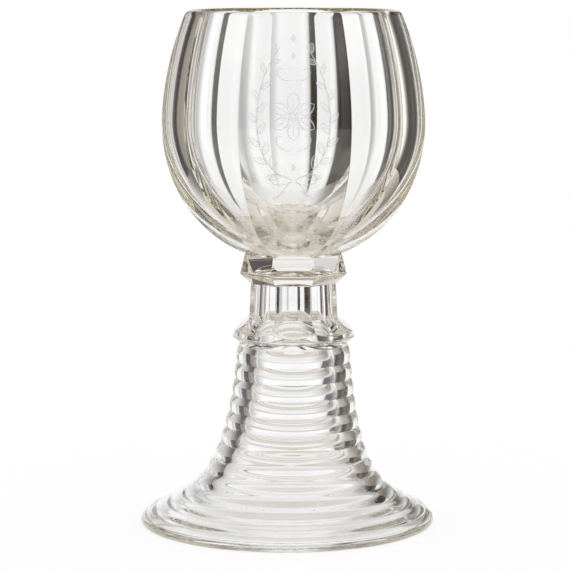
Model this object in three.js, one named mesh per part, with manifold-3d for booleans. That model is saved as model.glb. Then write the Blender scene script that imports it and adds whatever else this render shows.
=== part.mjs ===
// A stemmed wine glass of thick clear crystal, built up from five pieces of hot glass that are
// fused end to end: a hollow foot of stacked rings, a round stem ring, a hollow panelled stem,
// a panelled collar and a panelled bowl. Eight flat panels run down the bowl, collar and stem,
// and run out on the upper flank of the stem ring. The inside of the bowl and the hollow of
// the shaft stay round.
//
// Millimetres, +Z up. The origin is the centre of the ground ring that the foot stands on, and
// one flat panel faces -Y.
import * as THREE from "three";
import { mergeVertices } from "three/addons/utils/BufferGeometryUtils.js";
import Module from "manifold-3d";

const wasm = await Module();
wasm.setup();

// Driving dimensions. Widths of panelled pieces are across flats, widths of round ones are
// diameters, and heights are those of each piece by itself.
const PANELS = 8;

const FOOT_HEIGHT = 52.7;
const FOOT_TOP_WIDTH = 33.1;
const FOOT_RIM_WIDTH = 86.0;
const FOOT_RIM_THICKNESS = 2.8;
const FOOT_RIM_BAND = 2.0;
const FOOT_REST_WIDTH = 1.6;
const FOOT_REST_INNER_WIDTH = 80.2;
const FOOT_WALL = 5.2;
const FOOT_RING_PITCH = 4.86;
const FOOT_RING_DEPTH = 0.7;
const FOOT_RING_DEPTH_RIM = 0.28;

const RING_HEIGHT = 8.6;
const RING_WIDTH = 35.5;
const RING_EDGE_HEIGHT = 2.6;
const RING_EDGE_BAND = 0.5;
const RING_SHOULDER_WIDTH = 28.9;
const RING_SHOULDER_BULGE = 0.95;
const RING_SHOULDER_DROP = 1.5;
const RING_BORE_WIDTH = 17.6;
const RUNOUT_DEPTH = 4.7;
const RUNOUT_REACH = 5.15;

const STEM_LENGTH = 9.8;
const STEM_TOP_WIDTH = 24.6;
const STEM_FOOT_WIDTH = 25.5;
const STEM_BORE_WIDTH = 16.8;

const COLLAR_HEIGHT = 8.5;
const COLLAR_EDGE_WIDTH = 30.8;
const COLLAR_EDGE_HEIGHT = 3.3;
const COLLAR_EDGE_BAND = 0.6;
const COLLAR_DOME_HEIGHT = 3.3;

const BOWL_HEIGHT = 70.4;
const BOWL_WIDTH = 74.7;
const BOWL_WIDEST_HEIGHT = 38.8;
const BOWL_MOUTH_WIDTH = 61.4;
const BOWL_NECK_WIDTH = 27.5;
const BOWL_NECK_HEIGHT = 1.0;
const BOWL_BASE_THICKNESS = 6.4;
const BOWL_WALL = 3.0;
const BOWL_LIP_WALL = 2.0;
const BOWL_LIP_ROUND = 0.6;

// How full the curves are: 2 is a plain ellipse, less is closer to a cone, more to a box.
const FULLNESS_ABOVE = 1.73;
const FULLNESS_BELOW = 2.04;
const DOME_FULLNESS = 2.8;
const STEM_FLARE_POWER = 1.4;
const RUNOUT_POWER = 1.32;
const LIP_BEVEL = 0.3;

// The line over the rings of the foot bends at two points. Each is given as a share of the way
// out from the top radius to the rim, and as a share of the foot's height.
const FLARE_WAIST_OUT = 0.125;
const FLARE_WAIST_UP = 0.164;
const FLARE_SKIRT_OUT = 0.503;
const FLARE_SKIRT_UP = 0.221;

// Shares of the way down that line: where the rings start to fade and have faded, and where the
// wall starts to thin towards the rim.
const RINGS_FADE_FROM = 0.37;
const RINGS_FADE_TO = 0.71;
const WALL_THINS_FROM = 0.62;
const WALL_THINS_POWER = 1.5;
const HOLLOW_SETTLE_POWER = 6;

// Bead shape of a ring: below 1 the crest is flat and the groove sharp, 2 is a smooth wave.
const BEAD_POWER = 0.85;
const WAVE_POWER = 2;

// Facets of the curved surfaces. A round piece has a whole number of facets to each panel.
const ROUND_FACETS = 6 * PANELS;
const BOWL_ROUND_FACETS = 8 * PANELS;
const CURVE_STEPS = 10;
const STEPS_PER_RING = 4;
const HOLLOW_STEPS = 16;
const RIM_TURNS = 3;
const CUT_CLEARANCE = 1.0;

// Heights of the joints between the pieces, from the table up.
const RING_Z = FOOT_HEIGHT;
const STEM_Z = RING_Z + RING_HEIGHT;
const COLLAR_Z = STEM_Z + STEM_LENGTH;
const BOWL_Z = COLLAR_Z + COLLAR_HEIGHT;

// Turns a closed geometry into a solid that can be cut.
function solidOf(geometry) {
  const bare = geometry.clone();
  bare.deleteAttribute("normal");
  bare.deleteAttribute("uv");
  const merged = mergeVertices(bare, 1e-4);
  return new wasm.Manifold(
    new wasm.Mesh({
      numProp: 3,
      vertProperties: merged.attributes.position.array,
      triVerts: new Uint32Array(merged.index.array),
    }),
  );
}

// Turns a solid back into a geometry for a mesh.
function geometryOf(solid) {
  const { vertProperties, triVerts } = solid.getMesh();
  const geometry = new THREE.BufferGeometry();
  geometry.setAttribute("position", new THREE.BufferAttribute(vertProperties, 3));
  geometry.setIndex(new THREE.BufferAttribute(triVerts, 1));
  geometry.computeVertexNormals();
  return geometry;
}

// Revolves an outline of [radius, height] points round the Z axis. The outline runs
// anticlockwise seen with the axis on the left, so that the faces point out.
function revolve(outline, facets = ROUND_FACETS) {
  const points = outline.map(([radius, height]) => new THREE.Vector2(radius, height));
  return new THREE.LatheGeometry(points, facets, Math.PI / PANELS).rotateX(Math.PI / 2);
}

// Stacks flat-sided sections of [apothem, height], lowest first, into one panelled solid.
function panelled(sections) {
  const corner = 1 / Math.cos(Math.PI / PANELS);
  const positions = [];
  const index = [];
  for (const [apothem, height] of sections) {
    for (let side = 0; side < PANELS; side++) {
      const angle = (2 * Math.PI * (side + 0.5)) / PANELS - Math.PI / 2;
      const radius = apothem * corner;
      positions.push(radius * Math.cos(angle), radius * Math.sin(angle), height);
    }
  }
  const at = (row, side) => row * PANELS + (side % PANELS);
  for (let row = 0; row + 1 < sections.length; row++) {
    for (let side = 0; side < PANELS; side++) {
      index.push(at(row, side), at(row, side + 1), at(row + 1, side + 1));
      index.push(at(row, side), at(row + 1, side + 1), at(row + 1, side));
    }
  }
  const last = sections.length - 1;
  for (let side = 1; side + 1 < PANELS; side++) {
    index.push(at(0, 0), at(0, side + 1), at(0, side));
    index.push(at(last, 0), at(last, side), at(last, side + 1));
  }
  const geometry = new THREE.BufferGeometry();
  geometry.setAttribute("position", new THREE.Float32BufferAttribute(positions, 3));
  geometry.setIndex(index);
  return geometry;
}

// Half a width at a share of the way from a curve's widest place to its end: a superellipse
// that has exactly the two given widths.
function bulge(widest, end, share, fullness) {
  const loss = 1 - (end / widest) ** 2;
  return (widest / 2) * Math.sqrt(1 - loss * share ** fullness);
}

// The shares 0, 1/steps ... 1.
function shares(steps) {
  return Array.from({ length: steps + 1 }, (_, i) => i / steps);
}

// A share that rises smoothly from 0 to 1 between two places.
function ease(from, to, at) {
  const part = Math.min(Math.max((at - from) / (to - from), 0), 1);
  return part * part * (3 - 2 * part);
}

// The line over the crests of the foot's rings, from the top joint down and out to the rim.
function flareLine() {
  const top = FOOT_TOP_WIDTH / 2;
  const out = FOOT_RIM_WIDTH / 2 - top;
  return new THREE.CubicBezierCurve(
    new THREE.Vector2(top, FOOT_HEIGHT),
    new THREE.Vector2(top + out * FLARE_WAIST_OUT, FOOT_HEIGHT * FLARE_WAIST_UP),
    new THREE.Vector2(top + out * FLARE_SKIRT_OUT, FOOT_HEIGHT * FLARE_SKIRT_UP),
    new THREE.Vector2((FOOT_RIM_WIDTH - FOOT_RIM_THICKNESS / 2) / 2, FOOT_RIM_THICKNESS),
  );
}

// A point at a share of the way down a line, moved square to it towards the glass's inside.
function inward(line, share, depth) {
  const point = line.getPointAt(share);
  const along = line.getTangentAt(share);
  return [point.x + along.y * depth, point.y - along.x * depth];
}

// The foot: a blown trumpet whose outside is a stack of closed rings. They are deep and bead
// shaped round the shaft, and shallow waves where the foot flares out to its rim.
function makeFoot() {
  const line = flareLine();
  const ringed = 1 - FOOT_RIM_BAND / line.getLength();
  const ringCount = Math.round((line.getLength() * ringed) / FOOT_RING_PITCH);
  const outside = shares(ringCount * STEPS_PER_RING).map((share, step) => {
    const at = share * ringed;
    const fade = ease(RINGS_FADE_FROM, RINGS_FADE_TO, at);
    const depth = FOOT_RING_DEPTH + (FOOT_RING_DEPTH_RIM - FOOT_RING_DEPTH) * fade;
    const phase = (step % STEPS_PER_RING) / STEPS_PER_RING;
    const crest = Math.sin(Math.PI * phase) ** (BEAD_POWER + (WAVE_POWER - BEAD_POWER) * fade);
    return inward(line, at, depth * (1 - crest));
  });
  outside[0] = [FOOT_TOP_WIDTH / 2 - FOOT_RING_DEPTH, FOOT_HEIGHT];
  const rimRadius = FOOT_RIM_WIDTH / 2;
  const rimRound = FOOT_RIM_THICKNESS / 2;
  const restRadius = FOOT_REST_INNER_WIDTH / 2;
  const rim = [1, 0, -1].map((side) => {
    const turn = (side * Math.PI) / RIM_TURNS;
    return [
      rimRadius - rimRound + rimRound * Math.cos(turn),
      rimRound + rimRound * Math.sin(turn),
    ];
  });
  const rest = [
    [restRadius + FOOT_REST_WIDTH, 0],
    [restRadius, 0],
  ];
  const last = inward(line, 1, FOOT_RIM_THICKNESS);
  const hollow = shares(HOLLOW_STEPS).map((share) => {
    const thin = Math.max((share - WALL_THINS_FROM) / (1 - WALL_THINS_FROM), 0);
    const wall = FOOT_WALL + (FOOT_RIM_THICKNESS - FOOT_WALL) * thin ** WALL_THINS_POWER;
    const [radius, height] = inward(line, share, wall);
    const settle = share ** HOLLOW_SETTLE_POWER;
    return [radius + settle * (restRadius - last[0]), height - settle * last[1]];
  });
  hollow[0] = [FOOT_TOP_WIDTH / 2 - FOOT_WALL, FOOT_HEIGHT];
  const inside = hollow.slice(0, -1).reverse();
  return revolve([...outside, ...rim, ...rest, ...inside, outside[0]].reverse());
}

// The stem ring: a round disc with a pointed edge. Above the edge its convex flank is cut by
// the run-out of the eight panels, which leaves eight arches with their points between them.
function makeStemRing() {
  const flank = new THREE.QuadraticBezierCurve(
    new THREE.Vector2(RING_WIDTH / 2, RING_Z + RING_EDGE_HEIGHT + RING_EDGE_BAND / 2),
    new THREE.Vector2(
      (RING_WIDTH + RING_SHOULDER_WIDTH) / 4 + RING_SHOULDER_BULGE,
      STEM_Z - RING_SHOULDER_DROP,
    ),
    new THREE.Vector2(RING_SHOULDER_WIDTH / 2, STEM_Z),
  );
  const blank = solidOf(
    revolve([
      [0, RING_Z],
      [FOOT_TOP_WIDTH / 2 - FOOT_RING_DEPTH, RING_Z],
      [RING_WIDTH / 2, RING_Z + RING_EDGE_HEIGHT - RING_EDGE_BAND / 2],
      ...flank.getPoints(CURVE_STEPS / 2).map((point) => [point.x, point.y]),
      [0, STEM_Z],
    ]),
  );
  const runout = shares(CURVE_STEPS)
    .map((share) => [
      STEM_FOOT_WIDTH / 2 + RUNOUT_REACH * share ** RUNOUT_POWER,
      STEM_Z - RUNOUT_DEPTH * share,
    ])
    .reverse();
  const wide = RING_WIDTH / 2 + CUT_CLEARANCE;
  const panels = solidOf(
    panelled([
      [wide, RING_Z],
      [wide, STEM_Z - RUNOUT_DEPTH - CUT_CLEARANCE / 2],
      ...runout,
    ]),
  );
  const bore = solidOf(
    revolve([
      [0, RING_Z - CUT_CLEARANCE],
      [FOOT_TOP_WIDTH / 2 - FOOT_WALL, RING_Z - CUT_CLEARANCE],
      [FOOT_TOP_WIDTH / 2 - FOOT_WALL, RING_Z],
      [RING_BORE_WIDTH / 2, STEM_Z],
      [RING_BORE_WIDTH / 2, STEM_Z + CUT_CLEARANCE],
      [0, STEM_Z + CUT_CLEARANCE],
    ]),
  );
  return geometryOf(blank.intersect(panels).subtract(bore));
}

// The stem: a short hollow shaft with eight flat sides, a little wider at its lower end.
function makeStem() {
  const outside = solidOf(
    panelled(
      shares(CURVE_STEPS / 2).map((share) => [
        STEM_FOOT_WIDTH / 2 - ((STEM_FOOT_WIDTH - STEM_TOP_WIDTH) / 2) * share ** STEM_FLARE_POWER,
        STEM_Z + STEM_LENGTH * share,
      ]),
    ),
  );
  const bore = solidOf(
    revolve([
      [0, STEM_Z - CUT_CLEARANCE],
      [RING_BORE_WIDTH / 2, STEM_Z - CUT_CLEARANCE],
      [RING_BORE_WIDTH / 2, STEM_Z],
      [STEM_BORE_WIDTH / 2, COLLAR_Z],
      [STEM_BORE_WIDTH / 2, COLLAR_Z + CUT_CLEARANCE],
      [0, COLLAR_Z + CUT_CLEARANCE],
    ]),
  );
  return geometryOf(outside.subtract(bore));
}

// The collar: a panelled disc with a long upper bevel and a short lower one. The hollow of
// the stem ends in a flat-topped dome in its underside.
function makeCollar() {
  const edgeZ = COLLAR_Z + COLLAR_EDGE_HEIGHT;
  const outside = solidOf(
    panelled([
      [STEM_TOP_WIDTH / 2, COLLAR_Z],
      [COLLAR_EDGE_WIDTH / 2, edgeZ - COLLAR_EDGE_BAND / 2],
      [COLLAR_EDGE_WIDTH / 2, edgeZ + COLLAR_EDGE_BAND / 2],
      [BOWL_NECK_WIDTH / 2, BOWL_Z],
    ]),
  );
  const dome = shares(CURVE_STEPS / 2).map((share) => [
    (STEM_BORE_WIDTH / 2) * Math.cos((Math.PI / 2) * share) ** (2 / DOME_FULLNESS),
    COLLAR_Z + COLLAR_DOME_HEIGHT * Math.sin((Math.PI / 2) * share) ** (2 / DOME_FULLNESS),
  ]);
  dome[dome.length - 1][0] = 0;
  const hollow = solidOf(
    revolve([
      [0, COLLAR_Z - CUT_CLEARANCE],
      [STEM_BORE_WIDTH / 2, COLLAR_Z - CUT_CLEARANCE],
      ...dome,
    ]),
  );
  return geometryOf(outside.subtract(hollow));
}

// The bowl: eight barrel-curved panels outside, and a smooth round inside that is worked out
// by itself, so the wall is thick at the corners between panels and thickest at the base.
function makeBowl() {
  const widestZ = BOWL_Z + BOWL_WIDEST_HEIGHT;
  const mouthZ = BOWL_Z + BOWL_HEIGHT;
  const neckZ = BOWL_Z + BOWL_NECK_HEIGHT;
  const lipZ = mouthZ - BOWL_LIP_ROUND;
  const belowOutside = shares(CURVE_STEPS)
    .slice(1)
    .map((share) => {
      const part = Math.sin((Math.PI / 2) * share);
      return [
        bulge(BOWL_WIDTH, BOWL_NECK_WIDTH, part, FULLNESS_BELOW),
        widestZ - (widestZ - neckZ) * part,
      ];
    })
    .reverse();
  const aboveOutside = shares(CURVE_STEPS).map((share) => [
    bulge(BOWL_WIDTH, BOWL_MOUTH_WIDTH, share, FULLNESS_ABOVE),
    widestZ + (lipZ - widestZ) * share,
  ]);
  const outside = solidOf(
    panelled([
      [BOWL_NECK_WIDTH / 2, BOWL_Z],
      ...belowOutside,
      ...aboveOutside,
      [BOWL_MOUTH_WIDTH / 2 - BOWL_LIP_ROUND * LIP_BEVEL, mouthZ - BOWL_LIP_ROUND * LIP_BEVEL],
      [BOWL_MOUTH_WIDTH / 2 - BOWL_LIP_ROUND, mouthZ],
    ]),
  );
  const innerWidth = BOWL_WIDTH - 2 * BOWL_WALL;
  const innerMouth = BOWL_MOUTH_WIDTH - 2 * BOWL_LIP_WALL;
  const floorZ = BOWL_Z + BOWL_BASE_THICKNESS;
  const belowInside = shares(CURVE_STEPS)
    .slice(1)
    .map((share) => {
      const part = Math.sin((Math.PI / 2) * share);
      return [
        bulge(innerWidth, 0, part, FULLNESS_BELOW),
        widestZ - (widestZ - floorZ) * part,
      ];
    })
    .reverse();
  const aboveInside = shares(CURVE_STEPS).map((share) => [
    bulge(innerWidth, innerMouth, share, FULLNESS_ABOVE),
    widestZ + (lipZ - widestZ) * share,
  ]);
  const inside = solidOf(
    revolve(
      [
        ...belowInside,
        ...aboveInside,
        [innerMouth / 2 + BOWL_LIP_ROUND, mouthZ],
        [innerMouth / 2 + BOWL_LIP_ROUND, mouthZ + CUT_CLEARANCE],
        [0, mouthZ + CUT_CLEARANCE],
      ],
      BOWL_ROUND_FACETS,
    ),
  );
  return geometryOf(outside.subtract(inside));
}

// Clear crystal with the faint warm tint that thick glass has.
function crystal(color) {
  return new THREE.MeshStandardMaterial({
    color,
    roughness: 0.02,
    metalness: 0,
    transparent: true,
    opacity: 0.35,
    side: THREE.DoubleSide,
  });
}

const goblet = new THREE.Group();
const pieces = [
  ["foot", makeFoot, 0xf1f0ec],
  ["stem_ring", makeStemRing, 0xe9e5da],
  ["stem", makeStem, 0xefece4],
  ["collar", makeCollar, 0xebe8df],
  ["bowl", makeBowl, 0xf4f3f0],
];
for (const [name, make, color] of pieces) {
  const mesh = new THREE.Mesh(make(), crystal(color));
  mesh.name = name;
  goblet.add(mesh);
}

export default goblet;
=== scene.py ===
import math

import bpy
import numpy as np
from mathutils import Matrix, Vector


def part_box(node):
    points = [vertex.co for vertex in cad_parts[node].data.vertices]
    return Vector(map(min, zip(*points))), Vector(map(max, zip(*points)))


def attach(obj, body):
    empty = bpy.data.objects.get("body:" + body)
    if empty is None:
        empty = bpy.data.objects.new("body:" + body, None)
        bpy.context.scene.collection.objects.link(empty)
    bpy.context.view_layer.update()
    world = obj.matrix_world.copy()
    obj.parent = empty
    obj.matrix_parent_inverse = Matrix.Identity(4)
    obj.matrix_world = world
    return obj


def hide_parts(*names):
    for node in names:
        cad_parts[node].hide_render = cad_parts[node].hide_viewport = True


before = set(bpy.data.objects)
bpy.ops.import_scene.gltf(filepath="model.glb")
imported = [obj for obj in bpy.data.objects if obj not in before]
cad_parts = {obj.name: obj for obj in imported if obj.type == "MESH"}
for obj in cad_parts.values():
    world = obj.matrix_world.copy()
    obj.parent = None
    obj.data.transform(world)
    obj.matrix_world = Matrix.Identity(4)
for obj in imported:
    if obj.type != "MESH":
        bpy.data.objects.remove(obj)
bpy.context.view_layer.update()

# Bowl
# The cup of the glass: one thick gather of crystal, cut outside in eight flat panels that curve only
# up and down, and left round and fire-polished inside. Its solid base is fused to the collar below.
MM = 0.001
PANELS = 8
PANEL_COLUMNS = 14  # columns of faces across the flat of a panel
CORNER_COLUMNS = 5  # columns round the softened corner between two panels
CORNER_SPREAD = 0.02  # keeps the columns of a corner apart where a section is round
CAP_SHARES = np.array([0.3, 0.7, 1])  # rings of points on a flat end, as shares of its half width
SHARP_ANGLE = 32  # in degrees: a sharper edge isn't shaded smooth
FULLNESS_ABOVE = 1.73
FULLNESS_BELOW = 2.04
BOWL_CORNER = 0.45 * MM
BOWL_WIDEST_SHARE = 0.5511  # height of the widest place, as a share of the bowl's height
BOWL_MOUTH_SHARE = 0.822  # mouth over widest, across flats
BOWL_WALL = 3.0 * MM
BOWL_LIP_WALL = 2.0 * MM
BOWL_LIP_RISE = 0.42 * BOWL_LIP_WALL  # height of the rounded lip above the wall
BOWL_LIP_FULLNESS = 0.6
BOWL_BASE_THICKNESS = 6.4 * MM
BOWL_NECK_HEIGHT = 0.45 * MM
NECK_WIDTH = 27.5 * MM
NECK_FLARE = 0.38 * MM  # how much further out the neck stands where it meets the collar
ROWS_BELOW = 60  # rows of points between the neck and the widest place
ROWS_ABOVE = 50  # rows of points between the widest place and the lip
ROWS_OVER_LIP = 7
PANEL_CUTS = np.array([0, 0.5, 0, 0, 0.1, 0, 0, -0.1]) * MM  # how much shallower each panel is cut
PANEL_CUTS_REACH = 12 * MM  # the height above the neck at which the full shift is reached
FUSED_GAP = 0.01 * MM  # half the optical gap between two fused pieces
# The finish of the crystal is a faint warm tint that shows where it is thick, faint waves in its
# polish, and streaks of uneven glass, called cords, in its thick core.
BOWL_ABSORBS = (4.7, 5.6, 8.2)  # how strongly a metre of glass absorbs red, green and blue
ABSORPTION_SCALE = 20
GLASS_IOR = 1.52
WAVES_SCALE = 90
WAVES_STRENGTH = 0.3
WAVES_HEIGHT = 0.06 * MM
CORDS_SCALE = 360
CORDS_DISTORTION = 0.8
CORDS_HEIGHT = 0.12 * MM
CORDS_TOP = 0.1  # there are cords only below this height, in metres
CORDS_REACH = 0.026  # and nearer to the axis than this
CORDS_FADE = 0.006  # over this distance they fade out
CORDS_BLUR = 0.26  # roughness of the glass where the cords have a strength of 1
BOWL_CORDS = 0.4  # strength of the cords
REST_HEIGHT = 0.05 * MM  # below this height the rim of the foot is ground matt
REST_ROUGHNESS = 0.45

bowl_low, bowl_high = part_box("bowl")


def eased(share):
    """A share from 0 to 1 with a soft start and a soft end: three squares less two cubes."""
    return share**2 * (3 - 2 * share)


def heading(angle):
    """Level unit vectors at the given angles from the X axis: their cosines and their sines."""
    return np.stack([np.cos(angle), np.sin(angle)], -1)


def columns(flat, corner):
    """Directions of the columns round an eight-sided section, as two arrays of 2-D vectors A and B.

    A point is apothem * A + softening * B. On a flat, A runs along the unit panel and B draws it in.
    On a corner, a small circle of the softening's radius is centred on the corner's bisector.
    """
    half = math.pi / PANELS
    facing = 2 * half * np.arange(PANELS)[:, None] - math.pi / 2
    share = np.linspace(-1, 1, flat + 1)[:, None]
    along = share * math.tan(half) * heading(facing + math.pi / 2)
    bisector = heading(facing + half) / math.cos(half)
    turn = np.linspace(0, 2 * half, corner + 1)[1:-1]
    towards = np.concatenate([heading(facing) + along, np.repeat(bisector, corner - 1, 1)], 1)
    softened = np.concatenate([-along, heading(facing + turn) - bisector], 1)
    return towards.reshape(-1, 2), softened.reshape(-1, 2)


def raised(flat, height):
    """Rows of 2-D points, each row set at its own height."""
    level = np.broadcast_to(height[:, None, None], flat.shape[:2] + (1,))
    return np.concatenate([flat, level], 2)


def panelled_rows(apothem, height, softening, grid):
    """Rows of points round an eight-sided section: apothem * A + softening * B at each height."""
    towards, softened = grid
    return raised(apothem[:, None, None] * towards + softening * softened, height)


def round_rows(radius, height, grid):
    """Rows of points on circles, in the directions of the panelled columns: A and a little of B."""
    spread = grid[0] + CORNER_SPREAD * grid[1]
    spread /= np.linalg.norm(spread, axis=1)[:, None]
    return raised(radius[:, None, None] * spread, height)


def placed(name, data):
    """A new object in the scene, with a mesh or other data of its own."""
    thing = bpy.data.objects.new(name, data)
    bpy.context.collection.objects.link(thing)
    return thing


def skin(name, rows, hollow, fused_strips):
    """A closed mesh from rows of points: each row is joined to the next, column by column.

    Where the piece is hollow the last row joins the first. Otherwise the first and the last row
    each close on a pole at their centre. The attribute fused is 1 on the faces of strips that are
    fused to a neighbour, where -1 stands for the first pole and the number of rows for the last.
    """
    count, around = rows.shape[:2]
    points = rows.reshape(-1, 3)
    here = np.arange(around)
    ahead = (here + 1) % around
    faces, strips = [], []
    for strip in range(count if hollow else count - 1):
        low, high = strip * around, (strip + 1) % count * around
        faces += np.stack([low + here, low + ahead, high + ahead, high + here], 1).tolist()
        strips += [strip] * around
    if not hollow:
        first, last, top = len(points), len(points) + 1, (count - 1) * around
        points = np.vstack([points, rows[0].mean(0), rows[-1].mean(0)])
        faces += np.stack([np.full(around, first), ahead, here], 1).tolist()
        faces += np.stack([np.full(around, last), top + here, top + ahead], 1).tolist()
        strips += [-1] * around + [count] * around
    mesh = bpy.data.meshes.new(name)
    mesh.from_pydata(points.tolist(), [], faces)
    fused = mesh.attributes.new("fused", "FLOAT", "FACE")
    fused.data.foreach_set("value", [float(strip in fused_strips) for strip in strips])
    mesh.polygons.foreach_set("use_smooth", [True] * len(faces))
    mesh.set_sharp_from_angle(angle=math.radians(SHARP_ANGLE))
    mesh.update()
    return placed(name, mesh)


def uneven(cuts, flat, corner):
    """How far each column moves, as 2-D vectors, when the panels are cut shallower or deeper by eye.

    A ridge moves to where its two shifted panels meet, and the columns between follow in proportion.
    """
    normals = heading(2 * math.pi / PANELS * np.arange(PANELS) - math.pi / 2)
    pairs = np.stack([normals, np.roll(normals, -1, 0)], 1)
    moves = np.stack([cuts, np.roll(cuts, -1)], 1)[..., None]
    ridges = np.linalg.solve(pairs, moves).reshape(PANELS, 1, 2)
    share = np.linspace(0, 1, flat + 1)[:, None]
    flats = np.roll(ridges, 1, 0) * (1 - share) + ridges * share
    return np.concatenate([flats, np.repeat(ridges, corner - 1, 1)], 1).reshape(-1, 2)


def bulge(widest, end, share, fullness):
    """Half a width at a share of the way from the widest place to the end: a superellipse."""
    return widest / 2 * np.sqrt(np.maximum(0, 1 - (1 - (end / widest) ** 2) * share**fullness))


def make_bowl():
    """The bowl's skin: up the panelled outside, over the lip, and down the round inside.

    Each side is two superellipses that meet at its widest place. The lip leads straight from one
    side to the other, and a power of a sine raises it.
    """
    grid = columns(PANEL_COLUMNS, CORNER_COLUMNS)
    width = bowl_high.x - bowl_low.x
    widest_z = bowl_low.z + BOWL_WIDEST_SHARE * (bowl_high.z - bowl_low.z)
    neck_z = bowl_low.z + BOWL_NECK_HEIGHT
    lip_z = bowl_high.z - BOWL_LIP_RISE
    mouth = width * BOWL_MOUTH_SHARE
    below = np.sin(np.linspace(1, 0, ROWS_BELOW) * math.pi / 2)
    above = np.linspace(0, 1, ROWS_ABOVE)[1:]
    out_a = np.concatenate([
        (NECK_WIDTH / 2 + NECK_FLARE) * CAP_SHARES,
        bulge(width, NECK_WIDTH, below, FULLNESS_BELOW),
        bulge(width, mouth, above, FULLNESS_ABOVE),
    ])
    out_z = np.concatenate([
        np.full(len(CAP_SHARES), bowl_low.z + FUSED_GAP),
        widest_z - (widest_z - neck_z) * below,
        widest_z + (lip_z - widest_z) * above,
    ])
    inner = width - 2 * BOWL_WALL
    inner_mouth = mouth - 2 * BOWL_LIP_WALL
    floor_z = bowl_low.z + BOWL_BASE_THICKNESS
    down = np.linspace(1, 0, ROWS_ABOVE)
    deep = np.sin(np.linspace(0, 1, ROWS_BELOW)[1:-1] * math.pi / 2)
    in_r = np.concatenate([
        bulge(inner, inner_mouth, down, FULLNESS_ABOVE),
        bulge(inner, 0, deep, FULLNESS_BELOW),
    ])
    in_z = np.concatenate([
        widest_z + (lip_z - widest_z) * down,
        widest_z - (widest_z - floor_z) * deep,
    ])
    outside = panelled_rows(out_a, out_z, BOWL_CORNER, grid)
    inside = round_rows(in_r, in_z, grid)
    risen = eased(np.clip((outside[..., 2:] - neck_z) / PANEL_CUTS_REACH, 0, 1))
    outside[..., :2] += uneven(PANEL_CUTS, PANEL_COLUMNS, CORNER_COLUMNS) * risen
    over = np.linspace(0, 1, ROWS_OVER_LIP + 2)[1:-1, None, None]
    rise = BOWL_LIP_RISE * np.sin(np.pi * over) ** BOWL_LIP_FULLNESS * np.array([0, 0, 1])
    lip = outside[-1] * (1 - over) + inside[0] * over + rise
    return skin("bowl_glass", np.concatenate([outside, lip, inside]), False, {-1, 0, 1})


def feed(tree, fed, inputs):
    """Gives a shader node its inputs: each, by name or number, is a value or another's output."""
    for key, value in inputs.items():
        if isinstance(value, bpy.types.NodeSocket):
            tree.links.new(value, fed.inputs[key])
        else:
            fed.inputs[key].default_value = value
    return fed


def add(tree, kind, inputs, operation=None):
    """A new shader node with its inputs."""
    added = tree.nodes.new("ShaderNode" + kind)
    if operation:
        added.operation = operation
    return feed(tree, added, inputs)


def math_of(tree, operation, *values):
    """The output of a maths node."""
    return add(tree, "Math", dict(enumerate(values)), operation).outputs[0]


def ranged(tree, value, start, stop, inputs=None):
    """The output of a node that maps a range of values to 0 to 1, or to what the inputs say."""
    bounds = {"Value": value, "From Min": start, "From Max": stop, **(inputs or {})}
    return add(tree, "MapRange", bounds).outputs[0]


def new_material(name):
    """A new material with its node tree and its main shader."""
    material = bpy.data.materials.new(name)
    material.use_nodes = True
    return material, material.node_tree, material.node_tree.nodes["Principled BSDF"]


def crystal(name, absorbs, cord_strength):
    """Polished glass: light passes, bends and is faintly absorbed; fused faces let it through."""
    material, tree, shader = new_material(name)
    position = add(tree, "TexCoord", {}).outputs["Object"]
    place = add(tree, "SeparateXYZ", {0: position})
    waves = add(tree, "TexNoise", {"Vector": position, "Scale": WAVES_SCALE, "Detail": 1})
    wavy = add(tree, "Bump", {
        "Strength": WAVES_STRENGTH, "Distance": WAVES_HEIGHT, "Height": waves.outputs["Fac"],
    })
    level = add(tree, "CombineXYZ", {"X": place.outputs["X"], "Y": place.outputs["Y"]})
    from_axis = add(tree, "VectorMath", {0: level.outputs[0]}, "LENGTH").outputs["Value"]
    deep = ranged(tree, place.outputs["Z"], CORDS_TOP, CORDS_TOP - CORDS_FADE, {"To Max": cord_strength})
    core = ranged(tree, from_axis, CORDS_REACH, CORDS_REACH - CORDS_FADE)
    streaked = math_of(tree, "MULTIPLY", deep, core)
    cords = add(tree, "TexNoise", {
        "Vector": position, "Scale": CORDS_SCALE, "Detail": 2, "Distortion": CORDS_DISTORTION,
    })
    corded = add(tree, "Bump", {
        "Strength": streaked, "Distance": CORDS_HEIGHT, "Height": cords.outputs["Fac"],
        "Normal": wavy.outputs[0],
    })
    ground = math_of(tree, "LESS_THAN", place.outputs["Z"], REST_HEIGHT)
    dull = math_of(tree, "MULTIPLY", ground, REST_ROUGHNESS)
    fused = add(tree, "Attribute", {})
    fused.attribute_name = "fused"
    feed(tree, shader, {
        "Base Color": (1, 1, 1, 1),
        "Roughness": math_of(tree, "MULTIPLY_ADD", streaked, CORDS_BLUR, dull),
        "IOR": GLASS_IOR,
        "Transmission Weight": 1.0,
        "Alpha": math_of(tree, "SUBTRACT", 1, fused.outputs["Fac"]),
        "Normal": corded.outputs[0],
    })
    inside = add(tree, "VolumeAbsorption", {
        "Color": (*[1 - lost / ABSORPTION_SCALE for lost in absorbs], 1),
        "Density": ABSORPTION_SCALE,
    })
    feed(tree, tree.nodes["Material Output"], {"Volume": inside.outputs[0]})
    return material


bowl = make_bowl()
bowl.data.materials.append(crystal("bowl_crystal", BOWL_ABSORBS, BOWL_CORDS))
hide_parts("bowl")
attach(bowl, "root")

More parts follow.
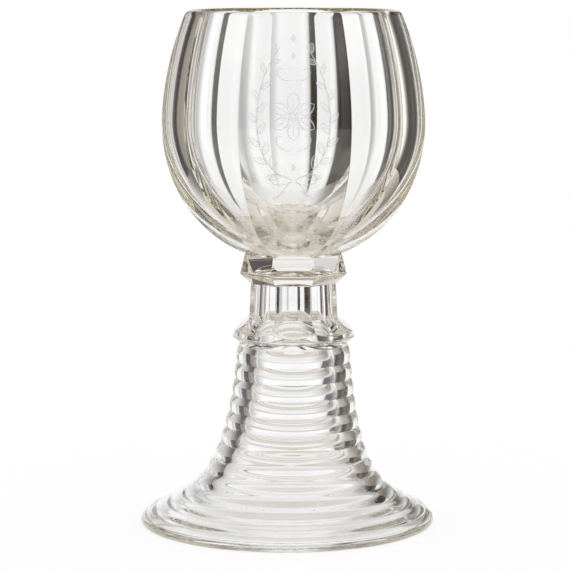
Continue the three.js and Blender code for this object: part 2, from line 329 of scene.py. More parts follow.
# Collar
# The disc under the bowl: eight panels with a long upper bevel and a short lower one. The hollow of
# the stem ends in a dome in its underside. The crest between the bevels is softened by polishing.
COLLAR_EDGE_HEIGHT = 3.3 * MM
COLLAR_EDGE_ROUND = 0.35 * MM
COLLAR_EDGE_TURN = 0.9  # how far round the crest goes before the bevels begin: 1 is a half circle
COLLAR_DOME_HEIGHT = 3.3 * MM
COLLAR_DOME_FULLNESS = 2.8
COLLAR_CORNER = 0.3 * MM
COLLAR_COLUMNS = 28
COLLAR_DOME_ROWS = 23
COLLAR_BEVEL_ROWS = 16
COLLAR_CREST_ROWS = 9
STEM_TOP_WIDTH = 24.6 * MM
STEM_BORE_WIDTH = 16.8 * MM
SHAFT_ABSORBS = (3.2, 3.8, 5.0)
SHAFT_CORDS = 0.04
collar_low, collar_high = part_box("collar")


def make_collar():
    """The collar's skin: the dome, the fused lower face, the bevels and their edge, the upper face.

    The dome is a superellipse, the bevels are straight, and the crest between them is an arc.
    """
    grid = columns(COLLAR_COLUMNS, CORNER_COLUMNS)
    low, high = collar_low.z + FUSED_GAP, collar_high.z - FUSED_GAP
    half = (collar_high.x - collar_low.x) / 2
    foot, top = STEM_TOP_WIDTH / 2, NECK_WIDTH / 2 + NECK_FLARE
    bore = STEM_BORE_WIDTH / 2
    turn = np.linspace(math.pi / 2, 0, COLLAR_DOME_ROWS + 1)[1:]
    full = 2 / COLLAR_DOME_FULLNESS
    dome_z = low + COLLAR_DOME_HEIGHT * np.sin(turn) ** full
    dome = round_rows(bore * np.cos(turn) ** full, dome_z, grid)
    face = round_rows(np.array([(bore + foot) / 2]), np.array([low]), grid)
    crest = np.linspace(-1, 1, COLLAR_CREST_ROWS)
    edge_a = half - COLLAR_EDGE_ROUND * (1 - np.sqrt(1 - (COLLAR_EDGE_TURN * crest) ** 2))
    edge_z = low + COLLAR_EDGE_HEIGHT + COLLAR_EDGE_ROUND * crest
    up = np.linspace(0, 1, COLLAR_BEVEL_ROWS)
    side_a = np.concatenate([
        foot + (edge_a[0] - foot) * up[:-1],
        edge_a,
        edge_a[-1] + (top - edge_a[-1]) * up[1:],
    ])
    side_z = np.concatenate([
        low + (edge_z[0] - low) * up[:-1],
        edge_z,
        edge_z[-1] + (high - edge_z[-1]) * up[1:],
    ])
    outside = panelled_rows(side_a, side_z, COLLAR_CORNER, grid)
    cap = panelled_rows(NECK_WIDTH / 2 * CAP_SHARES[1::-1], np.full(2, high), COLLAR_CORNER, grid)
    rows = np.concatenate([dome, face, outside, cap])
    d, o = len(dome), len(outside)
    return skin("collar_glass", rows, False, {d - 1, d, d + o, d + o + 1, d + o + 2, len(rows)})


collar = make_collar()
shaft_crystal = crystal("shaft_crystal", SHAFT_ABSORBS, SHAFT_CORDS)
collar.data.materials.append(shaft_crystal)
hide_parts("collar")
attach(collar, "root")

# Stem
# The short hollow shaft under the collar, drawn out hot and cut in eight flat sides, a little wider
# below. It is fused to the collar above and to the ring below.
STEM_FOOT_WIDTH = 25.5 * MM
STEM_FLARE_POWER = 1.4
STEM_CORNER = 0.35 * MM
STEM_ROWS = 24
RING_BORE_WIDTH = 17.6 * MM
stem_low, stem_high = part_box("stem")


def make_stem():
    """The stem's skin: up the eight sides, in over the upper face, down the bore, out below.

    The sides draw in by a power of the height, and the bore narrows evenly.
    """
    grid = columns(PANEL_COLUMNS, CORNER_COLUMNS)
    low, high = stem_low.z + FUSED_GAP, stem_high.z - FUSED_GAP
    up = np.linspace(0, 1, STEM_ROWS)
    down = up[::-1]
    apothem = STEM_FOOT_WIDTH / 2 - (STEM_FOOT_WIDTH - STEM_TOP_WIDTH) / 2 * up**STEM_FLARE_POWER
    outside = panelled_rows(apothem, low + (high - low) * up, STEM_CORNER, grid)
    bore = (RING_BORE_WIDTH + (STEM_BORE_WIDTH - RING_BORE_WIDTH) * down) / 2
    inside = round_rows(bore, low + (high - low) * down, grid)
    rows = np.concatenate([outside, inside])
    return skin("stem_glass", rows, True, {STEM_ROWS - 1, 2 * STEM_ROWS - 1})


stem = make_stem()
stem.data.materials.append(shaft_crystal)
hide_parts("stem")
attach(stem, "root")

# Stem ring
# A round ring with a pointed edge, trailed on and turned. The eight panels of the stem run out on
# its upper flank, which leaves eight arches with their points between them.
RING_EDGE_HEIGHT = 2.6 * MM
RING_EDGE_ROUND = 0.3 * MM
RING_EDGE_TUCK = 0.25 * MM  # how far the flanks end inside the edge
RING_UNDER_POWER = 1.7
RING_SHOULDER_WIDTH = 28.9 * MM
RING_SHOULDER_BULGE = 0.95 * MM
RING_SHOULDER_DROP = 1.5 * MM
RUNOUT_DEPTH = 4.7 * MM
RUNOUT_REACH = 5.15 * MM
RUNOUT_POWER = 1.32
FOOT_TOP_WIDTH = 33.1 * MM
FOOT_RING_DEPTH = 0.7 * MM
FOOT_HOLLOW_TOP_WIDTH = 22.7 * MM
HOLLOW_SLOPE_ABOVE = -0.041  # how fast the hollow widens upwards where the ring meets the stem
HOLLOW_SLOPE_BELOW = -0.075  # the same where the ring meets the foot
CUT_SOFTNESS = 0.12 * MM
RING_PANEL_COLUMNS = 36
RING_UNDER_ROWS = 20
RING_EDGE_ROWS = 7
RING_OVER_ROWS = 56
RING_BORE_ROWS = 32
ring_low, ring_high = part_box("stem_ring")


def softly_least(first, second, softness):
    """The lesser of two values, with the crease between them rounded by the softness."""
    near = np.maximum(softness * 4 - np.abs(first - second), 0) / (softness * 4)
    return np.minimum(first, second) - near**2 * softness


def arched(start, middle, end, share):
    """A quadratic curve between two values, drawn towards the middle one."""
    return (1 - share) ** 2 * start + 2 * share * (1 - share) * middle + share**2 * end


def make_stem_ring():
    """The ring's skin. Its radius is the lesser of the turned blank's and the panel cut's.

    The bore is a cubic curve with the given widths and slopes at its two ends.
    """
    grid = columns(RING_PANEL_COLUMNS, CORNER_COLUMNS)
    low, high = ring_low.z + FUSED_GAP, ring_high.z - FUSED_GAP
    half = (ring_high.x - ring_low.x) / 2
    edge = low + RING_EDGE_HEIGHT
    flank_r = half - RING_EDGE_TUCK
    foot_r, shoulder = FOOT_TOP_WIDTH / 2 - FOOT_RING_DEPTH, RING_SHOULDER_WIDTH / 2
    up = np.linspace(0, 1, RING_UNDER_ROWS)
    turn = np.linspace(-math.pi / 2, math.pi / 2, RING_EDGE_ROWS + 2)[1:-1]
    over = np.linspace(0, 1, RING_OVER_ROWS)
    blank_r = np.concatenate([
        foot_r + (flank_r - foot_r) * up**RING_UNDER_POWER,
        half - RING_EDGE_ROUND + RING_EDGE_ROUND * np.cos(turn),
        arched(flank_r, (half + shoulder) / 2 + RING_SHOULDER_BULGE, shoulder, over),
    ])
    blank_z = np.concatenate([
        low + (edge - RING_EDGE_ROUND - low) * up,
        edge + RING_EDGE_ROUND * np.sin(turn),
        arched(edge + RING_EDGE_ROUND, high - RING_SHOULDER_DROP, high, over),
    ])
    depth = np.maximum(high - blank_z, 0) / RUNOUT_DEPTH
    cut = STEM_FOOT_WIDTH / 2 + RUNOUT_REACH * depth**RUNOUT_POWER
    outside = panelled_rows(cut, blank_z, STEM_CORNER, grid)
    reach = np.linalg.norm(outside[..., :2], axis=2)
    kept = softly_least(reach, blank_r[:, None], CUT_SOFTNESS)
    outside[..., :2] *= (kept / reach)[..., None]
    down = np.linspace(1, 0, RING_BORE_ROWS)
    bore = FOOT_HOLLOW_TOP_WIDTH / 2 * eased(1 - down) + RING_BORE_WIDTH / 2 * eased(down)
    slope = HOLLOW_SLOPE_BELOW * (1 - down) - HOLLOW_SLOPE_ABOVE * down
    bore += (high - low) * down * (1 - down) * slope
    inside = round_rows(bore, low + (high - low) * down, grid)
    rows = np.concatenate([outside, inside])
    return skin("stem_ring_glass", rows, True, {len(outside) - 1, len(rows) - 1})


stem_ring = make_stem_ring()
stem_ring.data.materials.append(shaft_crystal)
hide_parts("stem_ring")
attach(stem_ring, "root")

# Foot
# The hollow trumpet that the glass stands on. Its outside is a stack of closed rings, deep and bead
# shaped round the shaft and shallow on the flare, and its rim is rounded and ground flat below.
FOOT_RIM_THICKNESS = 2.8 * MM
FOOT_RIM_TUCK = 0.5  # how far inside the rim the flare ends, as a share of the rim's roundness
FOOT_RIM_TURN = (65, -60)  # where the rounded rim starts and stops, in degrees above level
FOOT_RIM_BAND = 2.0 * MM
FOOT_REST_WIDTH = 1.6 * MM
FOOT_HOLLOW_MOUTH_WIDTH = 80.2 * MM
FOOT_WALL = 5.2 * MM
WALL_THINS_FROM = 0.62
WALL_THINS_POWER = 1.5
HOLLOW_SETTLE_POWER = 6
FOOT_RING_PITCH = 4.86 * MM
FOOT_RING_DEPTH_RIM = 0.28 * MM
RINGS_FADE_FROM = 0.37
RINGS_FADE_TO = 0.71
BEAD_POWER = 0.85  # the form of a ring on the shaft: below 1 it is a bead with a sharp groove
WAVE_POWER = 2.0  # the form of a ring on the flare
FLARE_WAIST = (0.125, 0.164)  # out from the top radius to the rim, and up the foot, as shares
FLARE_SKIRT = (0.503, 0.221)
FOOT_LEAN = 1.9 * MM  # how far the rim stands to the left of the bowl's axis
FOOT_COLUMNS = 256
RING_ROWS = 14
RIM_ROWS = 16
HOLLOW_ROWS = 110
CURVE_SAMPLES = 2001
FOOT_ABSORBS = (2.2, 2.5, 3.2)
FOOT_CORDS = 0.04
foot_low, foot_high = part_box("foot")


def cubic(ends, share):
    """A cubic curve through four control points: they weigh as a third power shares itself out."""
    a, b, c, d = np.array(ends, float)
    rest = 1 - share
    return rest**3 * a + 3 * rest**2 * share * b + 3 * rest * share**2 * c + share**3 * d


def evenly(ends, steps):
    """A cubic curve [r, z] as evenly spaced points, the normals that point inwards, and its length."""
    curve = cubic(ends, np.linspace(0, 1, CURVE_SAMPLES)[:, None])
    run = np.concatenate([[0], np.cumsum(np.linalg.norm(np.diff(curve, axis=0), axis=1))])
    even = np.linspace(0, run[-1], steps + 1)
    points = np.stack([np.interp(even, run, curve[:, k]) for k in (0, 1)], 1)
    along = np.gradient(points, axis=0)
    along /= np.linalg.norm(along, axis=1)[:, None]
    return points, np.stack([along[:, 1], -along[:, 0]], 1), run[-1]


def make_foot():
    """The foot's skin: up the hollow, round the rest and the rim, and up the ringed outside.

    A ring is a sine raised to a power, cut inwards from the flare. The wall is an even offset of
    the flare that thins to the rim. The axis leans left by the square of the distance from the top.
    """
    rim_r = (foot_high.x - foot_low.x) / 2
    high = foot_high.z - FUSED_GAP
    rim_round = FOOT_RIM_THICKNESS / 2
    top, out = FOOT_TOP_WIDTH / 2, rim_r - FOOT_TOP_WIDTH / 2
    flare = [
        (top, high),
        (top + out * FLARE_WAIST[0], high * FLARE_WAIST[1]),
        (top + out * FLARE_SKIRT[0], high * FLARE_SKIRT[1]),
        (rim_r - rim_round * FOOT_RIM_TUCK, FOOT_RIM_THICKNESS),
    ]
    length = evenly(flare, RING_ROWS)[2]
    count = round((length - FOOT_RIM_BAND) / FOOT_RING_PITCH)
    band = round(FOOT_RIM_BAND / length * count * RING_ROWS) + 1
    base, inward, _ = evenly(flare, count * RING_ROWS + band)
    row = np.arange(len(base))
    fade_share = (row / row[-1] - RINGS_FADE_FROM) / (RINGS_FADE_TO - RINGS_FADE_FROM)
    fade = eased(np.clip(fade_share, 0, 1))
    depth = FOOT_RING_DEPTH + (FOOT_RING_DEPTH_RIM - FOOT_RING_DEPTH) * fade
    power = BEAD_POWER + (WAVE_POWER - BEAD_POWER) * fade
    wave = np.abs(np.sin(math.pi * row / RING_ROWS)) ** power
    groove = depth * np.where(row > count * RING_ROWS, 0, 1 - wave)
    outer = base + inward * groove[:, None]
    outer[0] = base[0] - np.array([depth[0], 0])
    turn = np.radians(np.linspace(*FOOT_RIM_TURN, RIM_ROWS))
    rim = np.stack([rim_r - rim_round + rim_round * np.cos(turn), rim_round + rim_round * np.sin(turn)], 1)
    mouth = FOOT_HOLLOW_MOUTH_WIDTH / 2
    rest = np.array([[mouth + FOOT_REST_WIDTH, 0], [mouth, 0]])
    base, inward, _ = evenly(flare, HOLLOW_ROWS)
    share = np.linspace(0, 1, HOLLOW_ROWS + 1)[:, None]
    thinned = np.clip((share - WALL_THINS_FROM) / (1 - WALL_THINS_FROM), 0, 1) ** WALL_THINS_POWER
    inner = base + inward * (FOOT_WALL + (FOOT_RIM_THICKNESS - FOOT_WALL) * thinned)
    inner += share**HOLLOW_SETTLE_POWER * (np.array([mouth, 0]) - inner[-1])
    hollow_top = np.array([FOOT_HOLLOW_TOP_WIDTH / 2, high])
    inner += (1 - share) ** HOLLOW_SETTLE_POWER * (hollow_top - inner[0])
    outline = np.concatenate([outer, rim, rest, inner[::-1][1:]])[::-1]
    radius, height = outline[:, :1], outline[:, 1:]
    angle = np.linspace(0, 2 * math.pi, FOOT_COLUMNS, endpoint=False)
    rows = np.stack([
        radius * np.cos(angle) - FOOT_LEAN * (1 - height / high) ** 2,
        radius * np.sin(angle),
        np.broadcast_to(height, (len(outline), FOOT_COLUMNS)),
    ], 2)
    return skin("foot_glass", rows, True, {len(outline) - 1})


foot = make_foot()
foot.data.materials.append(crystal("foot_crystal", FOOT_ABSORBS, FOOT_CORDS))
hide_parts("foot")
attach(foot, "root")

# Engraving
# A wreath of two laurel sprigs round a six-petalled flower, tied with a bow. It is cut into the front
# panel with small copper wheels and left matt. The cuts lie as thin frosted strips on the panel.
ENGRAVING_LIFT = 0.012 * MM
ENGRAVING_CENTRE = 121.5 * MM
# The drawing is in mm to the right of and above the centre. A curve has four control points.
SPRIG = ((0.5, -17.5), (12.5, -15.5), (13.0, 7.0), (3.6, 19.0))
BOW_LOOP = ((0.3, -17.8), (8.5, -12.5), (8.5, -22.0), (0.3, -18.2))
BOW_TAIL = ((0.3, -18.2), (3.2, -19.0), (2.2, -22.5), (6.0, -23.0))
CURL_BELOW = ((0.8, -9.6), (5.6, -9.4), (5.6, -4.2), (2.9, -5.6))
CURL_ABOVE = ((0.8, 9.8), (5.4, 9.6), (5.2, 14.2), (2.7, 12.8))
SPRIG_STEPS = 60  # points along the curve
LOOP_STEPS = 26
CURL_STEPS = 20
LEAF_STEPS = 12
VEIN_STEPS = 6
FLOWER_RING_STEPS = 25
LINE_WIDTH = 0.56
LINE_ENDS = (0.03, 0.97)  # a line swells as half a sine wave between these shares of it
LEAF_LENGTH = 4.6
LEAF_WIDTH = 1.9
LEAF_SHARES = np.linspace(0.1, 0.96, 13)  # where the leaves grow on a sprig
LEAF_SHRINKS = 0.35  # how much smaller a leaf at the tip of the sprig is
LEAF_TURNS = (-0.62, 0.72)  # the turn from the sprig to a leaf on its one side and on the other
LEAF_SHOULDER = (0.3, 0.66)  # a control point along and across the leaf, as shares
LEAF_CHEEK = (0.75, 0.5)
LEAF_VEIN = (0.3, 0.5, 0.8)
LEAF_LINE = 0.85
VEIN_LINE = 0.5
PETALS = 6
PETAL_START = 1.5
PETAL_LENGTH = 5.2
PETAL_WIDTH = 3.6
FLOWER_RINGS = (1.25, 0.6)
FLOWER_RING_LINE = 0.8
DROPS = (-14.2, 16.6, 21.4)  # heights of three short drops on the middle line
DROP_REACH = 1.1
DROP_LINE = 2.2
DROP_TAPER = 0.9
DROP_STEPS = 9
# The ground surface of the cuts is matt, pale and grainy, and thin enough to let light through.
FROST_COLOUR = (0.62, 0.62, 0.63, 1)
FROST_ROUGHNESS = 0.7
GRAIN_SCALE = 5200
GRAIN_RANGE = (0.3, 0.7)
FROST_COVERS = (0.35, 0.7)  # the share of the surface that is covered, at the ends of that range
PITS_STRENGTH = 0.4
PITS_DEPTH = 0.05 * MM


def panel_half(z):
    """Half the bowl's width across flats at a height, by the same curves as its skin."""
    width = bowl_high.x - bowl_low.x
    widest_z = bowl_low.z + BOWL_WIDEST_SHARE * (bowl_high.z - bowl_low.z)
    lip_z = bowl_high.z - BOWL_LIP_RISE
    above = np.clip((z - widest_z) / (lip_z - widest_z), 0, 1)
    below = np.clip((widest_z - z) / (widest_z - bowl_low.z - BOWL_NECK_HEIGHT), 0, 1)
    upper = bulge(width, width * BOWL_MOUTH_SHARE, above, FULLNESS_ABOVE)
    return np.where(z > widest_z, upper, bulge(width, NECK_WIDTH, below, FULLNESS_BELOW))


def curve(points, steps):
    """A smooth curve [u, v] through four control points."""
    return cubic(points, np.linspace(0, 1, steps)[:, None])


def stroke(line, widest, taper=0.5):
    """A wheel cut along a line, as its two edges. Its width follows a power of a sine."""
    along = np.gradient(line, axis=0)
    across = np.stack([-along[:, 1], along[:, 0]], 1) / np.linalg.norm(along, axis=1)[:, None]
    swell = np.sin(math.pi * np.linspace(*LINE_ENDS, len(line)))[:, None] ** taper
    return line - across * widest / 2 * swell, line + across * widest / 2 * swell


def leaf(root, bearing, length, width):
    """A leaf: its two outlines and its vein, as three strokes along cubic curves."""
    ahead, aside = heading(bearing), heading(bearing + math.pi / 2)
    strokes = []
    for side in (1, -1):
        shoulder, cheek = [root + ahead * length * out + side * aside * width * across
                           for out, across in (LEAF_SHOULDER, LEAF_CHEEK)]
        outline = curve([root, shoulder, cheek, root + ahead * length], LEAF_STEPS)
        strokes.append(stroke(outline, LINE_WIDTH * LEAF_LINE))
    vein = curve([root, *[root + ahead * length * out for out in LEAF_VEIN]], VEIN_STEPS)
    return strokes + [stroke(vein, LINE_WIDTH * VEIN_LINE)]


def half_wreath(side):
    """The sprig with its leaves, half of the bow and two curls, on one side of the middle line."""
    mirror = np.array([side, 1])
    branch = curve(SPRIG, SPRIG_STEPS)
    cuts = [stroke(branch * mirror, LINE_WIDTH)]
    for count, at in enumerate(LEAF_SHARES):
        here = int(at * (SPRIG_STEPS - 1))
        onward = branch[min(here + 1, SPRIG_STEPS - 1)] - branch[here - 1]
        bearing = math.atan2(onward[1], onward[0]) + LEAF_TURNS[count % 2]
        if side < 0:
            bearing = math.pi - bearing
        size = 1 - LEAF_SHRINKS * at
        cuts += leaf(branch[here] * mirror, bearing, LEAF_LENGTH * size, LEAF_WIDTH * size)
    for points, steps in ((BOW_LOOP, LOOP_STEPS), (BOW_TAIL, CURL_STEPS),
                          (CURL_BELOW, CURL_STEPS), (CURL_ABOVE, CURL_STEPS)):
        cuts.append(stroke(curve(points, steps) * mirror, LINE_WIDTH))
    return cuts


def flower():
    """Six petals, two rings in their middle, and the drops above and below them."""
    cuts = []
    for petal in range(PETALS):
        bearing = math.pi / 2 + petal * 2 * math.pi / PETALS
        cuts += leaf(PETAL_START * heading(bearing), bearing, PETAL_LENGTH, PETAL_WIDTH)
    turn = np.linspace(0, 2 * math.pi, FLOWER_RING_STEPS)
    for radius in FLOWER_RINGS:
        cuts.append(stroke(radius * heading(turn), LINE_WIDTH * FLOWER_RING_LINE, 0.0))
    for height in DROPS:
        rise = height + np.linspace(-DROP_REACH, DROP_REACH, DROP_STEPS)
        drop = np.stack([np.zeros(DROP_STEPS), rise], 1)
        cuts.append(stroke(drop, LINE_WIDTH * DROP_LINE, DROP_TAPER))
    return cuts


def make_engraving():
    """All cuts of the wreath, drawn flat in mm and laid on the curved front panel."""
    points, faces = [], []
    for left, right in half_wreath(-1) + half_wreath(1) + flower():
        start, count = len(points), len(left)
        points += left.tolist() + right.tolist()
        here = start + np.arange(count - 1)
        faces += np.stack([here, here + 1, here + count + 1, here + count], 1).tolist()
    flat = np.array(points) * MM
    z = ENGRAVING_CENTRE + flat[:, 1]
    spread = np.stack([flat[:, 0], -panel_half(z) - ENGRAVING_LIFT, z], 1)
    mesh = bpy.data.meshes.new("engraving")
    mesh.from_pydata(spread.tolist(), [], faces)
    mesh.update()
    return placed("engraving", mesh)


def frosting():
    """A matt, partly clear surface. A fine grain sets how much it covers and roughens it."""
    material, tree, shader = new_material("wheel_cut_frosting")
    position = add(tree, "TexCoord", {}).outputs["Object"]
    grain = add(tree, "TexNoise", {"Vector": position, "Scale": GRAIN_SCALE, "Detail": 3}).outputs["Fac"]
    pits = add(tree, "Bump", {"Strength": PITS_STRENGTH, "Distance": PITS_DEPTH, "Height": grain})
    thin, thick = FROST_COVERS
    feed(tree, shader, {
        "Base Color": FROST_COLOUR,
        "Roughness": FROST_ROUGHNESS,
        "IOR": GLASS_IOR,
        "Alpha": ranged(tree, grain, *GRAIN_RANGE, {"To Min": thin, "To Max": thick}),
        "Normal": pits.outputs[0],
    })
    return material


engraving = make_engraving()
engraving.data.materials.append(frosting())
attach(engraving, "root")

# Floor
# A plain white table top, round, that keeps the soft shadow of the glass. What the glass itself shows of
# it is a glow with painted shade: grey and warm painted shade under the shaft, a dark and warm painted
# shadow under the rim, white between them, and beige further out, and beyond that the studio's screens.
FLOOR_RADIUS = 1.5
FLOOR_SIDES = 96
FLOOR_ROUGHNESS = 0.8
FLOOR_GLOW = 0.85
SHOWN_RADIUS = 0.14
# What rays through glass see of the floor, as a glow: painted shade under the shaft, white round it, a
# painted shadow under the rim, and beige further out
FLOOR_PAINTED_SHADE = (  # distances from the axis in metres, and the colours there
    (0, (0.72, 0.68, 0.63)), (0.018, (0.8, 0.765, 0.725)), (0.032, (1.0, 1.0, 1.0)),
    (0.0375, (1.0, 1.0, 1.0)), (0.0395, (0.5, 0.43, 0.32)), (0.0455, (0.5, 0.43, 0.32)),
    (0.048, (0.81, 0.79, 0.765)), (0.07, (0.77, 0.73, 0.68)), (0.09, (0.7, 0.64, 0.55)),
    (0.14, (0.7, 0.64, 0.55)),
)
floor_turn = np.linspace(0, 2 * math.pi, FLOOR_SIDES, endpoint=False)


def circle(radius, height):
    """Points on a level circle, as many as the floor has sides."""
    x, y = radius * np.cos(floor_turn), radius * np.sin(floor_turn)
    return np.stack([x, y, np.full(FLOOR_SIDES, height)], 1)


def ramp(tree, stops, position):
    """The output of a colour ramp. Each stop is a position from 0 to 1 and a colour."""
    toned = add(tree, "ValToRGB", {0: position})
    elements = toned.color_ramp.elements
    elements.remove(elements[1])
    for count, (at, colour) in enumerate(stops):
        stop = elements.new(at) if count else elements[0]
        stop.position = at
        stop.color = (*colour, 1)
    return toned.outputs["Color"]


def mixed(tree, factor, first, second):
    """The output of a node that mixes two shaders."""
    return add(tree, "MixShader", {0: factor, 1: first, 2: second}).outputs[0]


def table_paint():
    """White paint that glows a little, except to the light that it scatters itself."""
    material, tree, shader = new_material("white_table")
    feed(tree, shader, {
        "Base Color": (1, 1, 1, 1), "Roughness": FLOOR_ROUGHNESS, "Specular IOR Level": 0.0,
    })
    path = add(tree, "LightPath", {}).outputs
    seen = math_of(tree, "SUBTRACT", 1, path["Is Diffuse Ray"])
    glow = math_of(tree, "MULTIPLY", seen, FLOOR_GLOW)
    plain = mixed(tree, glow, shader.outputs[0], add(tree, "Emission", {}).outputs[0])
    position = add(tree, "TexCoord", {}).outputs["Object"]
    reach = add(tree, "VectorMath", {0: position}, "LENGTH").outputs["Value"]
    # Rays through glass see a glow with painted shade and a painted shadow instead, by the distance from
    # the axis, and nothing past the shown radius
    stops = [(radius / SHOWN_RADIUS, tint) for radius, tint in FLOOR_PAINTED_SHADE]
    toned = ramp(tree, stops, math_of(tree, "DIVIDE", reach, SHOWN_RADIUS))
    painted_shade_glow = add(tree, "Emission", {"Color": toned}).outputs[0]
    near = mixed(tree, path["Is Transmission Ray"], plain, painted_shade_glow)
    far = math_of(tree, "GREATER_THAN", reach, SHOWN_RADIUS)
    beyond = math_of(tree, "MULTIPLY", far, path["Is Transmission Ray"])
    clear = add(tree, "BsdfTransparent", {}).outputs[0]
    feed(tree, tree.nodes["Material Output"], {"Surface": mixed(tree, beyond, near, clear)})
    return material


floor_mesh = bpy.data.meshes.new("floor")
floor_mesh.from_pydata(circle(FLOOR_RADIUS, 0).tolist(), [], [list(range(FLOOR_SIDES))])
floor_mesh.materials.append(table_paint())
floor = placed("floor", floor_mesh)

# Cards
# A low ring of cards that stands on the table round the foot and glows in white and grey bands: painted
# light and shade of the studio round the glass. Only rays through glass see it. Each band is a bearing in
# degrees to the right of straight behind the glass, how bright it is, and how warm: 1 is the beige of the
# camera's side, and below 0 is the coolness of the screens.
CARD_RADIUS = 0.12
CARD_FEET = 0.0005
CARD_HEIGHT = 0.045
WARMTH = (0, 0.13, 0.25)  # how much of red, green and blue a warmth of 1 takes away
CARD_PAINTED_LIGHT_BANDS = (
    (-180, 0.9, 1), (-140, 1.1, 0), (-106, 1.1, 0), (-100, 0.5, 1), (-80, 0.35, 1), (-74, 0.12, 1),
    (-62, 0.12, 1), (-52, 0.3, 0.5), (-42, 0.5, 0), (-30, 0.76, 0), (-18, 0.95, -0.1), (8, 0.95, -0.1),
    (13, 0.82, 0), (18, 0.62, 0), (24, 0.4, 0.5), (30, 0.2, 1), (36, 0.2, 1), (42, 0.3, 1), (52, 0.4, 1),
    (66, 0.55, 0.5), (76, 1.1, 0), (140, 1.1, 0), (180, 0.9, 1),
)


def banded(tree, parts, bands, strength):
    """The colour of upright bands round the glass, divided by the strength that they glow with."""
    bearing = math_of(tree, "ARCTAN2", parts.outputs["X"], parts.outputs["Y"])
    stops = [
        ((degrees + 180) / 360, [level / strength * (1 - warm * lost) for lost in WARMTH])
        for degrees, level, warm in bands
    ]
    return ramp(tree, stops, ranged(tree, bearing, -math.pi, math.pi))


def card_painted_room_light():
    """A glow in bands of painted light and shade that only rays through glass see."""
    material, tree, shader = new_material("card_painted_room_light")
    tree.nodes.remove(shader)
    parts = add(tree, "SeparateXYZ", {0: add(tree, "TexCoord", {}).outputs["Object"]})
    glow = add(tree, "Emission", {"Color": banded(tree, parts, CARD_PAINTED_LIGHT_BANDS, 1)}).outputs[0]
    clear = add(tree, "BsdfTransparent", {}).outputs[0]
    through = add(tree, "LightPath", {}).outputs["Is Transmission Ray"]
    feed(tree, tree.nodes["Material Output"], {"Surface": mixed(tree, through, clear, glow)})
    return material


card_points = np.concatenate([circle(CARD_RADIUS, CARD_FEET), circle(CARD_RADIUS, CARD_HEIGHT)])
around = np.arange(FLOOR_SIDES)
onward = (around + 1) % FLOOR_SIDES
card_faces = np.stack([around, onward, onward + FLOOR_SIDES, around + FLOOR_SIDES], 1)
card_mesh = bpy.data.meshes.new("cards")
card_mesh.from_pydata(card_points.tolist(), [], card_faces.tolist())
card_mesh.materials.append(card_painted_room_light())
cards = placed("cards", card_mesh)

# Studio
# A white surround. Glass shows it through its walls as a bright screen straight behind, with the gaps
# between the screens and soft boxes as dark upright bands, given as the bands of the cards are. What
# polished faces mirror once is the room behind the camera, dark and brighter above and below it.
STUDIO_BANDS = (
    (-180, 0.92, 0.7), (-150, 0.92, 0.7), (-140, 1.12, -0.1), (-110, 1.12, -0.1), (-104, 0.8, 0),
    (-87, 1.05, 0), (-82, 0.8, 0), (-70, 0.75, 0), (-66, 0.34, 1), (-53, 0.24, 1), (-49.5, 0.02, 1),
    (-38, 0.02, 1), (-35, 0.06, 1), (-31, 0.3, 1), (-28, 0.85, -0.1), (-22.5, 0.5, -0.1),
    (-17, 0.72, -0.1), (-12, 1.06, -0.1), (-4, 1.02, -0.1), (5, 1.02, -0.1), (9, 1.1, -0.1),
    (12.5, 0.85, -0.1), (14.2, 0.04, 2), (34, 0.03, 2), (37, 0.12, 1), (43, 0.03, 2), (56, 0.02, 1),
    (61, 0.4, 1), (66, 1.12, -0.1), (150, 1.12, -0.1), (158, 0.92, 0.7), (180, 0.92, 0.7),
)
STUDIO_STRENGTH = 1.2
ROOM_LEVELS = (  # the rise of a direction, from -1 straight down to 1 straight up, and a brightness
    (-1, 0.745), (-0.5, 0.745), (-0.36, 0.028), (0.02, 0.028), (0.18, 0.2794), (0.32, 0.745),
    (0.5, 0.3725), (0.6, 0.1397),
)
BEHIND_CAMERA = (-0.05, -0.25)  # the room shows from the first Y of a direction to the second in full
OVERHEAD = (0.45, 0.6)  # and from the first rise of a direction to the second
BESIDE_CAMERA = (0.3, 0.55)  # and less towards the middle, by how far aside the direction points
ROOM_MIDDLE = 0.25
ONE_MIRRORING = 0.5  # how close to 1 the count of mirrorings has to be


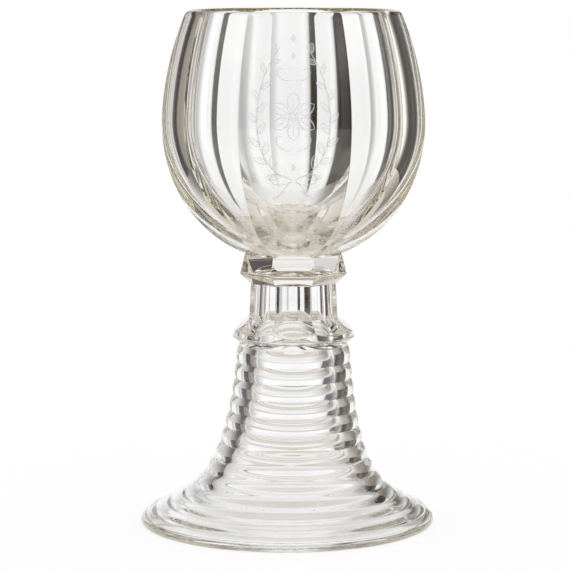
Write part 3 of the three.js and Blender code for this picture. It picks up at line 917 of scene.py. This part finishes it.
def make_studio():
    """The world: bands for rays that glass bends or mirrors, the room for one mirroring, else white."""
    world = bpy.data.worlds.new("studio")
    world.use_nodes = True
    tree = world.node_tree
    parts = add(tree, "SeparateXYZ", {0: add(tree, "TexCoord", {}).outputs["Generated"]})
    path = add(tree, "LightPath", {}).outputs
    rise = ranged(tree, parts.outputs["Z"], -1, 1)
    room = ramp(tree, [((up + 1) / 2, [bright] * 3) for up, bright in ROOM_LEVELS], rise)
    aside = math_of(tree, "ABSOLUTE", parts.outputs["X"])
    sideways = ranged(tree, aside, *BESIDE_CAMERA, {"To Min": ROOM_MIDDLE})
    room_seen = math_of(tree, "MULTIPLY", room, sideways)
    behind = ranged(tree, parts.outputs["Y"], *BEHIND_CAMERA)
    overhead = ranged(tree, parts.outputs["Z"], *OVERHEAD)
    once = math_of(tree, "COMPARE", path["Glossy Depth"], 1, ONE_MIRRORING)
    mirrored = math_of(tree, "MULTIPLY", once, math_of(tree, "MAXIMUM", behind, overhead))
    level = add(tree, "Mix", {"Factor": mirrored, "A": 1, "B": room_seen}).outputs["Result"]
    screens = add(tree, "Background", {
        "Color": banded(tree, parts, STUDIO_BANDS, STUDIO_STRENGTH),
        "Strength": math_of(tree, "MULTIPLY", level, STUDIO_STRENGTH),
    })
    plain = feed(tree, tree.nodes["Background"], {"Color": (1, 1, 1, 1)})
    by_glass = math_of(tree, "MAXIMUM", path["Is Glossy Ray"], path["Is Transmission Ray"])
    surround = mixed(tree, by_glass, plain.outputs[0], screens.outputs[0])
    feed(tree, tree.nodes["World Output"], {"Surface": surround})
    return world


bpy.context.scene.world = make_studio()

# Camera
# A long lens a little above the rim, tilted down, with the glass a little left of the middle. The
# renderer follows light through many walls of glass.
SENSOR_WIDTH = 36
PHOTO_WIDTH = 570
FOCAL_LENGTH = 2626  # in pixels of the photograph
CAMERA_DISTANCE = 0.760
CAMERA_HEIGHT = 0.1663
CAMERA_TILT = 7.214  # in degrees below level
CAMERA_SHIFT = -0.0147
BOUNCES = 32
GLOSSY_BOUNCES = 16
lens = bpy.data.cameras.new("camera")
lens.sensor_width = SENSOR_WIDTH
lens.lens = SENSOR_WIDTH * FOCAL_LENGTH / PHOTO_WIDTH
lens.shift_x = CAMERA_SHIFT
camera = placed("camera", lens)
camera.location = (0, -CAMERA_DISTANCE, CAMERA_HEIGHT)
camera.rotation_euler = (math.radians(90 - CAMERA_TILT), 0, 0)
scene = bpy.context.scene
scene.camera = camera
scene.view_settings.view_transform = "Standard"
scene.cycles.max_bounces = BOUNCES
scene.cycles.transmission_bounces = BOUNCES
scene.cycles.transparent_max_bounces = BOUNCES
scene.cycles.glossy_bounces = GLOSSY_BOUNCES
